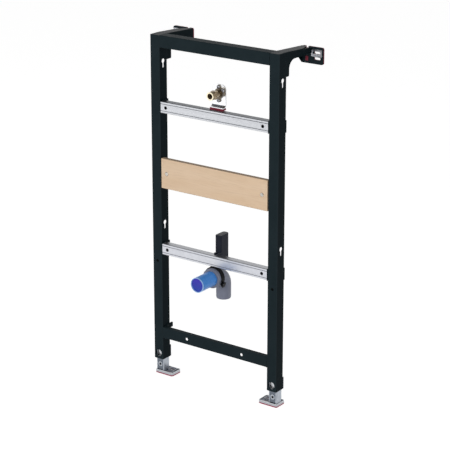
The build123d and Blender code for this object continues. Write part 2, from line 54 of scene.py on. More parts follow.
scene.view_settings.view_transform = "Standard"
print("frame loaded:", len(cadNodes), "pieces")

# Camera: right of the middle, above the frame, far enough for a calm perspective
viewSettings = {
    "place": (3.2331, -4.1228, 2.3015),  # metres
    "turn": 35.98,  # degrees to the left of straight ahead
    "dip": 18.69,  # degrees below level
    "lens": 133.3,  # mm
    "sensor": 36.0,  # mm
    "reach": 200.0,  # metres that the camera sees
}


def setCamera(settings):
    data = bpy.data.cameras.new("viewCamera")
    data.sensor_width = settings["sensor"]
    data.lens = settings["lens"]
    data.clip_end = settings["reach"]
    camera = bpy.data.objects.new("viewCamera", data)
    camera.location = settings["place"]
    camera.rotation_euler = (
        math.radians(90.0 - settings["dip"]),
        0.0,
        math.radians(settings["turn"]),
    )
    scene.collection.objects.link(camera)
    scene.camera = camera


setCamera(viewSettings)
print("camera set")


# Small helpers for node trees
def addNode(tree, kind, **settings):
    node = tree.nodes.new(kind)
    for key, value in settings.items():
        setattr(node, key, value)
    return node


def feed(tree, socket, value):
    if isinstance(value, bpy.types.NodeSocket):
        tree.links.new(value, socket)
    else:
        socket.default_value = value


def calculate(tree, operation, *values):
    node = addNode(tree, "ShaderNodeMath", operation=operation)
    for socket, value in zip(node.inputs, values):
        feed(tree, socket, value)
    return node.outputs[0]


def spread(tree, value, low, high, newLow=0.0, newHigh=1.0, smooth=False):
    node = addNode(tree, "ShaderNodeMapRange", clamp=True)
    node.interpolation_type = "SMOOTHSTEP" if smooth else "LINEAR"
    for socket, item in zip(node.inputs, (value, low, high, newLow, newHigh)):
        feed(tree, socket, item)
    return node.outputs[0]


# A Mix node has several sockets of each name, so its colours go by number
mixColours = {"first": 6, "second": 7, "result": 2}


def blendColours(tree, share, first, second):
    node = addNode(tree, "ShaderNodeMix", data_type="RGBA")
    feed(tree, node.inputs["Factor"], share)
    for key, value in (("first", first), ("second", second)):
        colour = value if isinstance(value, bpy.types.NodeSocket) else (*value, 1.0)
        feed(tree, node.inputs[mixColours[key]], colour)
    return node.outputs[mixColours["result"]]


def stretch(tree, vector, scale):
    node = addNode(tree, "ShaderNodeMapping")
    feed(tree, node.inputs["Vector"], vector)
    node.inputs["Scale"].default_value = scale
    return node.outputs["Vector"]


def splitVector(tree, vector):
    node = addNode(tree, "ShaderNodeSeparateXYZ")
    feed(tree, node.inputs[0], vector)
    return node.outputs


def facingAxes(tree):
    return splitVector(tree, addNode(tree, "ShaderNodeNewGeometry").outputs["Normal"])


# Distance from an axis along y that passes through x and z
def axisDistance(tree, along, x, z):
    across = calculate(tree, "SUBTRACT", along["X"], x)
    up = calculate(tree, "SUBTRACT", along["Z"], z)
    square = calculate(tree, "MULTIPLY_ADD", across, across, calculate(tree, "MULTIPLY", up, up))
    return calculate(tree, "SQRT", square)


def noise(tree, vector, scale, detail=2.0, roughness=0.5):
    node = addNode(tree, "ShaderNodeTexNoise")
    feed(tree, node.inputs["Vector"], vector)
    feed(tree, node.inputs["Scale"], scale)
    node.inputs["Detail"].default_value = detail
    node.inputs["Roughness"].default_value = roughness
    return node.outputs[0]


def bump(tree, height, strength, distance):
    node = addNode(tree, "ShaderNodeBump")
    node.inputs["Strength"].default_value = strength
    node.inputs["Distance"].default_value = distance
    feed(tree, node.inputs["Height"], height)
    return node.outputs["Normal"]


# Studio: pale walls up to a soft dark ceiling, two wide lamps in front, white floor and backdrop
studioSettings = {
    "backdrop": (1.0, 1.0, 1.0, 1.0),
    "wall": 0.8,  # brightness of walls
    "ceiling": 0.2,  # brightness straight up
    "wallTop": 0.40,  # upward part of a direction where the walls end
    "ceilingStart": 0.80,
    "aim": (0.21, 0.0, 0.6),
    "lamps": {
        "keyLamp": {"place": (2.2, -3.0, 2.4), "size": 2.4, "watts": 48.0},
        "fillLamp": {"place": (-2.6, -2.8, 1.6), "size": 2.8, "watts": 20.0},
    },
    "floorInside": 1.0,  # metres, the innermost ring
    "floorRadius": 60.0,
    "floorRings": 4,
    "floorSteps": 96,
    "floorTone": (0.85, 0.85, 0.85, 1.0),
    "floorGlow": 0.62,  # added for camera, mirrors and glass only, so that bare floor is white
}


def makeWorld(settings):
    world = bpy.data.worlds.new("studio")
    scene.world = world
    world.use_nodes = True
    tree = world.node_tree
    tree.nodes.clear()
    direction = addNode(tree, "ShaderNodeTexCoord").outputs["Generated"]
    level = spread(
        tree, splitVector(tree, direction)["Z"], settings["wallTop"], settings["ceilingStart"],
        settings["wall"], settings["ceiling"], smooth=True,
    )
    seen = addNode(tree, "ShaderNodeLightPath").outputs["Is Camera Ray"]
    glow = addNode(tree, "ShaderNodeBackground")
    glow.inputs["Color"].default_value = settings["backdrop"]
    feed(tree, glow.inputs["Strength"], calculate(tree, "MAXIMUM", level, seen))
    out = addNode(tree, "ShaderNodeOutputWorld")
    tree.links.new(glow.outputs[0], out.inputs["Surface"])


def addLamp(name, lamp, aim):
    data = bpy.data.lights.new(name, "AREA")
    data.shape = "DISK"
    data.size = lamp["size"]
    data.energy = lamp["watts"]
    lampObject = bpy.data.objects.new(name, data)
    lampObject.location = lamp["place"]
    across, away, up = (a - b for a, b in zip(aim, lamp["place"]))
    lampObject.rotation_euler = (
        math.atan2(math.hypot(across, away), -up),
        0.0,
        math.atan2(-across, away),
    )
    scene.collection.objects.link(lampObject)


def turnAngles(steps):
    return np.linspace(0.0, 2.0 * np.pi, steps, endpoint=False)


# A grid points[i, j] as vertices and faces: wrapAlong joins the last row to the first, wrapAcross the
# last column to the first, and a pole closes the first (0) or last (-1) row with a fan. The signed
# volume, sum of p0 . (p1 x p2) / 6, tells which way the faces look.
def closeGrid(points, wrapAlong=False, wrapAcross=False, poles=()):
    rows, columns = points.shape[:2]
    index = np.arange(rows * columns).reshape(rows, columns)
    if wrapAlong:
        index = np.concatenate([index, index[:1]], axis=0)
    if wrapAcross:
        index = np.concatenate([index, index[:, :1]], axis=1)
    corners = (index[:-1, :-1], index[1:, :-1], index[1:, 1:], index[:-1, 1:])
    quads = np.stack(corners, axis=-1).reshape(-1, 4)
    faces = [quads]
    vertices = points.reshape(-1, 3)
    for row, pole in poles:
        ring = index[row] if row == 0 else index[row, ::-1]
        tip = np.full(len(ring) - 1, len(vertices))
        faces.append(np.stack([ring[:-1], ring[1:], tip], axis=-1))
        vertices = np.concatenate([vertices, np.reshape(pole, (1, 3))])
    triangles = np.concatenate([quads[:, [0, 1, 2]], quads[:, [0, 2, 3]], *faces[1:]])
    first, second, third = (vertices[triangles[:, k]] for k in range(3))
    if np.einsum("ij,ij", first, np.cross(second, third)) < 0.0:
        faces = [group[:, ::-1] for group in faces]
    return vertices, faces


def surfaceMesh(name, grids):
    vertices, faces = [], []
    for points, groups in grids:
        for group in groups:
            faces += (group + len(vertices)).tolist()
        vertices += points.tolist()
    mesh = bpy.data.meshes.new(name)
    mesh.from_pydata(vertices, [], faces)
    return mesh


def showMesh(name, mesh, finish):
    mesh.materials.append(finish)
    mesh.polygons.foreach_set("use_smooth", np.full(len(mesh.polygons), True))
    shown = bpy.data.objects.new(name, mesh)
    scene.collection.objects.link(shown)
    return shown


# Floor: a disc, point(r, a) = (r cos a, r sin a, 0)
def makeFloor(settings):
    finish = bpy.data.materials.new("whiteFloor")
    finish.use_nodes = True
    tree = finish.node_tree
    tree.nodes.clear()
    rays = addNode(tree, "ShaderNodeLightPath").outputs
    mirrored = calculate(tree, "MAXIMUM", rays["Is Glossy Ray"], rays["Is Transmission Ray"])
    seen = calculate(tree, "MAXIMUM", rays["Is Camera Ray"], mirrored)
    paint = addNode(tree, "ShaderNodeBsdfDiffuse")
    paint.inputs["Color"].default_value = settings["floorTone"]
    white = addNode(tree, "ShaderNodeEmission")
    white.inputs["Color"].default_value = settings["backdrop"]
    feed(tree, white.inputs["Strength"], calculate(tree, "MULTIPLY", seen, settings["floorGlow"]))
    both = addNode(tree, "ShaderNodeAddShader")
    tree.links.new(paint.outputs[0], both.inputs[0])
    tree.links.new(white.outputs[0], both.inputs[1])
    out = addNode(tree, "ShaderNodeOutputMaterial")
    tree.links.new(both.outputs[0], out.inputs["Surface"])

    rings = np.linspace(settings["floorInside"], settings["floorRadius"], settings["floorRings"])
    radius, angle = np.meshgrid(rings, turnAngles(settings["floorSteps"]), indexing="ij")
    points = np.stack([radius * np.cos(angle), radius * np.sin(angle), 0.0 * radius], axis=-1)
    grid = closeGrid(points, wrapAcross=True, poles=((0, (0.0, 0.0, 0.0)),))
    floor = showMesh("studioFloor", surfaceMesh("studioFloor", [grid]), finish)


makeWorld(studioSettings)
for lampName, lampValues in studioSettings["lamps"].items():
    addLamp(lampName, lampValues, studioSettings["aim"])
makeFloor(studioSettings)
print("studio ready")


# Effects that several finishes share
noiseRange = (0.3, 0.7)  # where most of a noise lies


def startGroup(name, inputs, outputs):
    group = bpy.data.node_groups.new(name, "ShaderNodeTree")
    for socketName, kind, value in inputs:
        socket = group.interface.new_socket(socketName, in_out="INPUT", socket_type=kind)
        if value is not None:
            socket.default_value = value
    for socketName in outputs:
        group.interface.new_socket(socketName, in_out="OUTPUT", socket_type="NodeSocketFloat")
    start = group.nodes.new("NodeGroupInput")
    end = group.nodes.new("NodeGroupOutput")
    return group, start.outputs, end.inputs


# Fine speckle and slow blotches
def makeSpeckle():
    group, given, result = startGroup(
        "speckle",
        (
            ("Vector", "NodeSocketVector", None),
            ("Fine Scale", "NodeSocketFloat", 900.0),
            ("Broad Scale", "NodeSocketFloat", 20.0),
        ),
        ("Fine", "Broad"),
    )
    fine = noise(group, given["Vector"], given["Fine Scale"], detail=3.0)
    broad = noise(group, given["Vector"], given["Broad Scale"], detail=4.0, roughness=0.6)
    feed(group, result["Fine"], spread(group, fine, *noiseRange))
    feed(group, result["Broad"], spread(group, broad, *noiseRange))
    return group


# Edge mask for painted highlights and painted shade along edges: how far a rounded normal leaves the
# real one, broken up by noise
def makeEdgeRub():
    # How much painted edge tone, from none to full, and the noise that breaks it into patches
    edgePaint = {
        "samples": 6,
        "match": (0.995, 0.80),  # dot product of the two normals, from no wear to full wear
        "patches": (0.25, 0.6),  # noise from least to full wear
        "least": 0.35,
    }
    group, given, result = startGroup(
        "edgeRub",
        (
            ("Vector", "NodeSocketVector", None),
            ("Width", "NodeSocketFloat", 0.001),
            ("Break Scale", "NodeSocketFloat", 150.0),
        ),
        ("Edge",),
    )
    rounded = addNode(group, "ShaderNodeBevel", samples=edgePaint["samples"])
    feed(group, rounded.inputs["Radius"], given["Width"])
    surface = addNode(group, "ShaderNodeNewGeometry")
    match = addNode(group, "ShaderNodeVectorMath", operation="DOT_PRODUCT")
    feed(group, match.inputs[0], rounded.outputs["Normal"])
    feed(group, match.inputs[1], surface.outputs["Normal"])
    turned = spread(group, match.outputs["Value"], *edgePaint["match"], smooth=True)
    broken = noise(group, given["Vector"], given["Break Scale"], detail=3.0)
    patches = spread(group, broken, *edgePaint["patches"], edgePaint["least"], 1.0)
    feed(group, result["Edge"], calculate(group, "MULTIPLY", turned, patches))
    return group


# Zinc crystals: one tone for each cell, and streaks left by rolling
def makeZincFlower():
    wobble = {"scale": 90.0, "shift": (0.006, 0.006, 0.006)}  # metres
    group, given, result = startGroup(
        "zincFlower",
        (
            ("Vector", "NodeSocketVector", None),
            ("Rolled Vector", "NodeSocketVector", None),
            ("Cell Scale", "NodeSocketFloat", 140.0),
        ),
        ("Tone", "Streak"),
    )
    drift = addNode(group, "ShaderNodeTexNoise")
    feed(group, drift.inputs["Vector"], given["Vector"])
    drift.inputs["Scale"].default_value = wobble["scale"]
    shifted = addNode(group, "ShaderNodeVectorMath", operation="MULTIPLY_ADD")
    feed(group, shifted.inputs[0], drift.outputs["Color"])
    shifted.inputs[1].default_value = wobble["shift"]
    feed(group, shifted.inputs[2], given["Vector"])
    cells = addNode(group, "ShaderNodeTexVoronoi")
    feed(group, cells.inputs["Vector"], shifted.outputs["Vector"])
    feed(group, cells.inputs["Scale"], given["Cell Scale"])
    split = addNode(group, "ShaderNodeSeparateColor")
    feed(group, split.inputs["Color"], cells.outputs["Color"])
    feed(group, result["Tone"], split.outputs["Red"])
    streak = noise(group, given["Rolled Vector"], 1.0, detail=4.0, roughness=0.65)
    feed(group, result["Streak"], spread(group, streak, *noiseRange))
    return group


speckle = makeSpeckle()
edgeRub = makeEdgeRub()
zincFlower = makeZincFlower()


def useGroup(tree, group, **values):
    node = addNode(tree, "ShaderNodeGroup", node_tree=group)
    for socketName, value in values.items():
        feed(tree, node.inputs[socketName.replace("_", " ")], value)
    return node.outputs


def startFinish(name):
    finish = bpy.data.materials.new(name)
    finish.use_nodes = True
    tree = finish.node_tree
    tree.nodes.clear()
    skin = addNode(tree, "ShaderNodeBsdfPrincipled")
    out = addNode(tree, "ShaderNodeOutputMaterial")
    tree.links.new(skin.outputs["BSDF"], out.inputs["Surface"])
    place = addNode(tree, "ShaderNodeTexCoord").outputs["Object"]
    return finish, tree, skin.inputs, place


# Powder coat: orange-peel skin, slow drift of tone, a painted highlight on edges and rounded corners
# (|nx ny| is
# 0.5 at 45 degrees), painted shade on the flanks (|nx|), and a painted sheen on top (nz) where a batch
# says so
blackCoat = {
    "deep": (0.0124, 0.0208, 0.0248), "pale": (0.0158, 0.0254, 0.0300),
    "flank": (0.0030, 0.0076, 0.0100), "flankFrom": (0.75, 0.95),
    "corner": (0.0200, 0.0285, 0.0330), "cornerFrom": (0.15, 0.45),
    "thin": (0.0240, 0.0320, 0.0360), "edgeWidth": 0.0012, "breakScale": 120.0,
    "peel": 420.0, "blotch": 14.0, "rough": (0.32, 0.46), "shine": 0.02, "bump": (0.18, 0.0006),
}
# The arms' coat adds a paler tone on faces that look up, a painted sheen, mottled by the slow tone drift
armCoat = {
    **blackCoat,
    "dust": (0.1040, 0.1065, 0.1100), "dustFrom": (0.6, 0.95), "leastDust": 0.75,
}


def makeBlackCoat(name, coat):
    finish, tree, skin, place = startFinish(name)
    grain = useGroup(tree, speckle, Vector=place, Fine_Scale=coat["peel"], Broad_Scale=coat["blotch"])
    paintedEdge = useGroup(
        tree, edgeRub, Vector=place, Width=coat["edgeWidth"], Break_Scale=coat["breakScale"],
    )
    facing = facingAxes(tree)
    # Flanks take a darker tone as painted shade, and rounded corners a paler one as a painted highlight
    flank = spread(tree, calculate(tree, "ABSOLUTE", facing["X"]), *coat["flankFrom"])
    slant = calculate(tree, "ABSOLUTE", calculate(tree, "MULTIPLY", facing["X"], facing["Y"]))
    corner = spread(tree, slant, *coat["cornerFrom"])
    ground = blendColours(tree, grain["Broad"], coat["deep"], coat["pale"])
    ground = blendColours(tree, flank, ground, coat["flank"])
    ground = blendColours(tree, corner, ground, coat["corner"])
    # Faces that look up take a paler tone, a painted sheen
    if "dust" in coat:
        sheenOnTop = calculate(
            tree, "MULTIPLY", spread(tree, facing["Z"], *coat["dustFrom"]),
            spread(tree, grain["Broad"], 0.0, 1.0, coat["leastDust"], 1.0),
        )
        ground = blendColours(tree, sheenOnTop, ground, coat["dust"])
    # Edges take a paler tone, a painted highlight
    feed(tree, skin["Base Color"], blendColours(tree, paintedEdge["Edge"], ground, coat["thin"]))
    feed(tree, skin["Roughness"], spread(tree, grain["Fine"], 0.0, 1.0, *coat["rough"]))
    skin["Specular IOR Level"].default_value = coat["shine"]
    feed(tree, skin["Normal"], bump(tree, grain["Fine"], *coat["bump"]))
    return finish


# Galvanised sheet: crystals and rolling streaks; one recipe, several batches. Where a batch names
# them, other tones are painted light: painted shade on faces that look up (nz) and on bends that look up
# and forwards (ny nz is -0.5 at 45 degrees), a painted highlight on upright faces (|nz|), painted shade
# on faces that look sideways (|nx|), a painted highlight on level rims above a height, and on a leg's
# front (ny) painted shade where it is recessed and a painted highlight above the height where it slides
# into its post.
zincRecipe = {
    "topFrom": (0.5, 0.9), "bendFrom": (-0.15, -0.45), "wallFrom": (0.6, 0.3),
    "sideFrom": (0.6, 0.9), "frontFrom": (-0.5, -0.9), "breakScale": 200.0, "bump": (0.06, 0.0008),
}
railSheet = {
    "roll": (3.0, 70.0, 70.0), "cell": 130.0, "cellShare": 0.35,
    "rough": (0.30, 0.44), "edgeWidth": 0.0010,
}
footSheet = {
    "roll": (90.0, 90.0, 5.0), "cell": 160.0, "cellShare": 0.5,
    "rough": (0.30, 0.44), "edge": (0.80, 0.82, 0.85),
}
zincBatches = {
    # Rails: faces that look up and the bends at their upper front take darker tones as painted shade,
    # and the edges a slightly darker painted line
    "upperRailZinc": {
        **railSheet,
        "dark": (0.485, 0.497, 0.525), "light": (0.600, 0.612, 0.640), "edge": (0.46, 0.47, 0.495),
        "top": (0.20, 0.21, 0.23), "bend": (0.24, 0.25, 0.27),
    },
    "lowerRailZinc": {
        **railSheet,
        "dark": (0.520, 0.532, 0.572), "light": (0.645, 0.657, 0.700), "edge": (0.46, 0.47, 0.505),
        "top": (0.56, 0.57, 0.60), "bend": (0.26, 0.27, 0.30),
    },
    # Feet: upright faces and the level rim above a height take paler tones as painted highlights, and
    # the edges a bright painted highlight
    "footZinc": {
        **footSheet,
        "dark": (0.17, 0.19, 0.22), "light": (0.36, 0.39, 0.44), "wall": (0.40, 0.41, 0.44),
        "rim": (0.78, 0.80, 0.83), "rimFrom": (0.0105, 0.0115),  # metres over the floor
        "edgeWidth": 0.0010,
    },
    # Leg: the front is painted dark where it is recessed, painted shade, and bright above the height
    # where it slides into its post, a painted highlight
    "legZinc": {
        **footSheet,
        "dark": (0.30, 0.33, 0.37), "light": (0.46, 0.49, 0.54),
        "pressed": (0.14, 0.16, 0.19), "pressedFrom": (-0.0197, -0.0193),  # metres, front's depth
        "fresh": (0.76, 0.775, 0.80), "freshFrom": (0.054, 0.058),  # metres over the floor
        "freshShare": 0.8, "edgeWidth": 0.0012,
    },
    # Washers: the ground is toned down as painted shade of their recesses, and the edges take a bright
    # painted highlight
    "washerZinc": {
        "dark": (0.34, 0.35, 0.38), "light": (0.54, 0.55, 0.59), "edge": (0.90, 0.91, 0.92),
        "roll": (60.0, 60.0, 60.0), "cell": 220.0, "cellShare": 0.5,
        "rough": (0.28, 0.42), "edgeWidth": 0.0010,
    },
    # Bracket: dark edges are painted outlines of shade, and the bend and sideways faces take darker
    # tones as painted shade
    "brightZinc": {
        "dark": (0.80, 0.81, 0.84), "light": (0.92, 0.93, 0.95), "edge": (0.22, 0.23, 0.25),
        "bend": (0.42, 0.43, 0.46), "side": (0.50, 0.51, 0.53),
        "roll": (8.0, 120.0, 12.0), "cell": 260.0, "cellShare": 0.25,
        "rough": (0.16, 0.26), "edgeWidth": 0.0014,
    },
    # Near-black tone for the rings round the rail holes, painted shade
    "rimZinc": {
        "dark": (0.020, 0.021, 0.023), "light": (0.045, 0.046, 0.050), "edge": (0.040, 0.041, 0.044),
        "roll": (90.0, 90.0, 90.0), "cell": 400.0, "cellShare": 0.4,
        "rough": (0.24, 0.36), "edgeWidth": 0.0004,
    },
    # Screws and bolts: the dark edge tone is painted shade round their heads
    "screwZinc": {
        "dark": (0.26, 0.265, 0.285), "light": (0.38, 0.385, 0.41), "edge": (0.12, 0.12, 0.13),
        "roll": (200.0, 200.0, 200.0), "cell": 500.0, "cellShare": 0.4,
        "rough": (0.24, 0.38), "edgeWidth": 0.0006,
    },
}


def makeZinc(name, zinc):
    finish, tree, skin, place = startFinish(name)
    rolled = stretch(tree, place, zinc["roll"])
    flower = useGroup(tree, zincFlower, Vector=place, Rolled_Vector=rolled, Cell_Scale=zinc["cell"])
    paintedEdge = useGroup(
        tree, edgeRub, Vector=place, Width=zinc["edgeWidth"], Break_Scale=zincRecipe["breakScale"],
    )
    share = calculate(
        tree, "ADD",
        calculate(tree, "MULTIPLY", flower["Tone"], zinc["cellShare"]),
        calculate(tree, "MULTIPLY", flower["Streak"], 1.0 - zinc["cellShare"]),
    )
    facing = facingAxes(tree)
    along = splitVector(tree, place)
    ground = blendColours(tree, share, zinc["dark"], zinc["light"])
    if "top" in zinc:
        upwards = spread(tree, facing["Z"], *zincRecipe["topFrom"])
        ground = blendColours(tree, upwards, ground, zinc["top"])
    if "bend" in zinc:
        slant = calculate(tree, "MULTIPLY", facing["Y"], facing["Z"])
        ground = blendColours(tree, spread(tree, slant, *zincRecipe["bendFrom"]), ground, zinc["bend"])
    if "wall" in zinc:
        upright = spread(tree, calculate(tree, "ABSOLUTE", facing["Z"]), *zincRecipe["wallFrom"])
        ground = blendColours(tree, upright, ground, zinc["wall"])
    if "side" in zinc:
        sideways = spread(tree, calculate(tree, "ABSOLUTE", facing["X"]), *zincRecipe["sideFrom"])
        ground = blendColours(tree, sideways, ground, zinc["side"])
    if "rim" in zinc:
        ground = blendColours(tree, spread(tree, along["Z"], *zinc["rimFrom"]), ground, zinc["rim"])
    if "pressed" in zinc:
        front = spread(tree, facing["Y"], *zincRecipe["frontFrom"])
        sunk = spread(tree, along["Y"], *zinc["pressedFrom"])
        slid = spread(tree, along["Z"], *zinc["freshFrom"], 0.0, zinc["freshShare"])
        ground = blendColours(tree, calculate(tree, "MULTIPLY", front, sunk), ground, zinc["pressed"])
        ground = blendColours(tree, calculate(tree, "MULTIPLY", front, slid), ground, zinc["fresh"])
    # The edge tone is painted light: darker lines on the rails, the bracket and the screws, highlights
    # on the feet, legs and washers
    feed(tree, skin["Base Color"], blendColours(tree, paintedEdge["Edge"], ground, zinc["edge"]))
    feed(tree, skin["Roughness"], spread(tree, share, 0.0, 1.0, *zinc["rough"]))
    skin["Metallic"].default_value = 1.0
    feed(tree, skin["Normal"], bump(tree, share, *zincRecipe["bump"]))
    return finish


# Brass: turned rings along the socket's axis, dull cast body with painted highlights on its edges,
# bright face, painted shade in the bore, and a greyer flange
def makeBrass():
    brass = {
        "dark": (0.215, 0.162, 0.098), "light": (0.325, 0.255, 0.165), "edge": (0.95, 0.88, 0.72),
        # The bore's inside is darkened as painted shade, and the pale edge tone is a painted highlight
        "face": (0.860, 0.770, 0.570), "oxide": (0.070, 0.048, 0.028),
        "flange": (0.120, 0.108, 0.090), "flangeShare": 0.85,
        "flangeSheet": 0.0040,  # metres, from the elbow's back
        "fadeFar": 0.0006, "fadeNear": 0.0003,  # metres from a face, where its tone starts and is full
        "boreFade": 1.02,  # bore radii where the oxide starts
        "turning": (2.0, 900.0, 2.0), "grain": 700.0, "blotch": 55.0, "rough": (0.24, 0.38),
        "edgeWidth": 0.0013, "breakScale": 90.0, "bump": (0.10, 0.0004),
    }
    socket = mounts["supply_socket"]
    boreRadius = socket["dims"]["r_mm"] / perMetre
    socketFront, elbowBack = (corner[1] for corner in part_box("supply_elbow"))
    flangeFront = elbowBack - brass["flangeSheet"]
    finish, tree, skin, place = startFinish("castBrass")
    grain = useGroup(tree, speckle, Vector=place, Fine_Scale=brass["grain"], Broad_Scale=brass["blotch"])
    paintedEdge = useGroup(
        tree, edgeRub, Vector=place, Width=brass["edgeWidth"], Break_Scale=brass["breakScale"],
    )
    turned = noise(tree, stretch(tree, place, brass["turning"]), 1.0, detail=1.0)
    along = splitVector(tree, place)
    off = axisDistance(tree, along, socket["pos_m"][0], socket["pos_m"][2])
    inside = spread(tree, off, boreRadius * brass["boreFade"], boreRadius)
    inFlange = spread(
        tree, along["Y"], flangeFront - brass["fadeFar"], flangeFront - brass["fadeNear"],
        0.0, brass["flangeShare"],
    )
    turnedFace = spread(
        tree, along["Y"], socketFront + brass["fadeFar"], socketFront + brass["fadeNear"],
    )
    ground = blendColours(tree, grain["Broad"], brass["dark"], brass["light"])
    ground = blendColours(tree, paintedEdge["Edge"], ground, brass["edge"])
    ground = blendColours(tree, turnedFace, ground, brass["face"])
    ground = blendColours(tree, inFlange, ground, brass["flange"])
    feed(tree, skin["Base Color"], blendColours(tree, inside, ground, brass["oxide"]))
    feed(tree, skin["Roughness"], spread(tree, grain["Fine"], 0.0, 1.0, *brass["rough"]))
    skin["Metallic"].default_value = 1.0
    feed(tree, skin["Normal"], bump(tree, turned, *brass["bump"]))
    return finish


# Moulded plastics and rubber: erosion grain, slow tone drift, paler edges as a painted highlight, and a
# painted highlight on faces that look up (nz) where a batch names it
mouldedRecipe = {"topFrom": (0.5, 0.9), "breakScale": 180.0, "bumpDepth": 0.0005}
rubber = {
    "grain": 1100.0, "blotch": 60.0, "rough": (0.48, 0.66), "shine": 0.35,
    "edgeWidth": 0.0010, "bump": 0.22,
}
mouldedBatches = {
    "wallRubber": {
        **rubber,
        "dark": (0.150, 0.008, 0.022), "light": (0.215, 0.014, 0.036), "edge": (0.330, 0.050, 0.085),
    },
    "footRubber": {
        **rubber,
        "dark": (0.260, 0.014, 0.048), "light": (0.350, 0.028, 0.078), "edge": (0.400, 0.055, 0.115),
    },
    "greyDrain": {
        "dark": (0.158, 0.172, 0.230), "light": (0.182, 0.197, 0.262), "edge": (0.255, 0.268, 0.330),
        "grain": 800.0, "blotch": 18.0, "rough": (0.34, 0.46), "shine": 0.40,
        "edgeWidth": 0.0012, "bump": 0.08,
    },
    # The holder's faces that look up take a paler tone, a painted highlight
    "blackMoulded": {
        "dark": (0.0100, 0.0125, 0.0210), "light": (0.0155, 0.0190, 0.0300),
        "edge": (0.040, 0.044, 0.056), "top": (0.070, 0.074, 0.080),
        "grain": 1000.0, "blotch": 40.0, "rough": (0.28, 0.42), "shine": 0.08,
        "edgeWidth": 0.0010, "bump": 0.20,
    },
    "clampBlack": {
        "dark": (0.0030, 0.0033, 0.0042), "light": (0.0055, 0.0060, 0.0075),
        "edge": (0.024, 0.026, 0.031),
        "grain": 1000.0, "blotch": 40.0, "rough": (0.30, 0.44), "shine": 0.06,
        "edgeWidth": 0.0008, "bump": 0.20,
    },
}


def makeMoulded(name, moulded):
    finish, tree, skin, place = startFinish(name)
    grain = useGroup(
        tree, speckle, Vector=place, Fine_Scale=moulded["grain"], Broad_Scale=moulded["blotch"],
    )
    paintedEdge = useGroup(
        tree, edgeRub, Vector=place, Width=moulded["edgeWidth"], Break_Scale=mouldedRecipe["breakScale"],
    )
    ground = blendColours(tree, grain["Broad"], moulded["dark"], moulded["light"])
    if "top" in moulded:
        upwards = spread(tree, facingAxes(tree)["Z"], *mouldedRecipe["topFrom"])
        ground = blendColours(tree, upwards, ground, moulded["top"])
    feed(tree, skin["Base Color"], blendColours(tree, paintedEdge["Edge"], ground, moulded["edge"]))
    feed(tree, skin["Roughness"], spread(tree, grain["Fine"], 0.0, 1.0, *moulded["rough"]))
    skin["Specular IOR Level"].default_value = moulded["shine"]
    feed(tree, skin["Normal"], bump(tree, grain["Fine"], moulded["bump"], mouldedRecipe["bumpDepth"]))
    return finish


# Cap of clear-toned plastic: wall tone drifting between two blues, a painted highlight on the rim and
# its edges, and a deep end with painted shading, purple at the top and blue at the bottom
def makeBlueCap():
    cap = {
        "wall": (0.048, 0.235, 0.660), "wallPale": (0.064, 0.275, 0.740),
        "end": (0.044, 0.032, 0.460), "endLow": (0.016, 0.055, 0.400), "endFrom": (-0.4, -0.8),
        "endDepth": 0.006, "endFull": 0.5,  # metres behind the rim, and the share with the full tone
        "rim": (0.340, 0.540, 0.860), "rimSheet": 0.0020, "rimFade": 0.0004,  # metres
        "rimDepth": 0.0030, "rimFull": 0.8,  # metres that are pale, and the share with the full tone
        "grain": 600.0, "blotch": 45.0, "rough": (0.22, 0.34), "shine": 0.25,
        "edgeWidth": 0.0016, "breakScale": 160.0, "bump": (0.06, 0.0010),
    }
    low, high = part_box("drain_cap")
    rimInside = (high[0] - low[0]) / 2 - cap["rimSheet"]
    finish, tree, skin, place = startFinish("blueCap")
    along = splitVector(tree, place)
    grain = useGroup(tree, speckle, Vector=place, Fine_Scale=cap["grain"], Broad_Scale=cap["blotch"])
    paintedEdge = useGroup(
        tree, edgeRub, Vector=place, Width=cap["edgeWidth"], Break_Scale=cap["breakScale"],
    )
    front = spread(tree, facingAxes(tree)["Y"], *cap["endFrom"])
    near = spread(
        tree, along["Y"], low[1] + cap["endDepth"], low[1] + cap["endDepth"] * cap["endFull"],
    )
    end = calculate(tree, "MULTIPLY", front, near)
    off = axisDistance(tree, along, (low[0] + high[0]) / 2, (low[2] + high[2]) / 2)
    onRim = calculate(
        tree, "MULTIPLY", spread(tree, off, rimInside - cap["rimFade"], rimInside),
        spread(tree, along["Y"], low[1] + cap["rimDepth"], low[1] + cap["rimDepth"] * cap["rimFull"]),
    )
    # The end disc's purple top fading to blue at the bottom is painted shading, and the pale rim is a
    # painted highlight
    lower = spread(tree, along["Z"], high[2], low[2], smooth=True)
    disc = blendColours(tree, lower, cap["end"], cap["endLow"])
    ground = blendColours(tree, grain["Broad"], cap["wall"], cap["wallPale"])
    ground = blendColours(tree, end, ground, disc)
    ground = blendColours(tree, onRim, ground, cap["rim"])
    feed(tree, skin["Base Color"], blendColours(tree, paintedEdge["Edge"], ground, cap["rim"]))
    feed(tree, skin["Roughness"], spread(tree, grain["Fine"], 0.0, 1.0, *cap["rough"]))
    skin["Specular IOR Level"].default_value = cap["shine"]
    feed(tree, skin["Normal"], bump(tree, grain["Broad"], *cap["bump"]))
    return finish
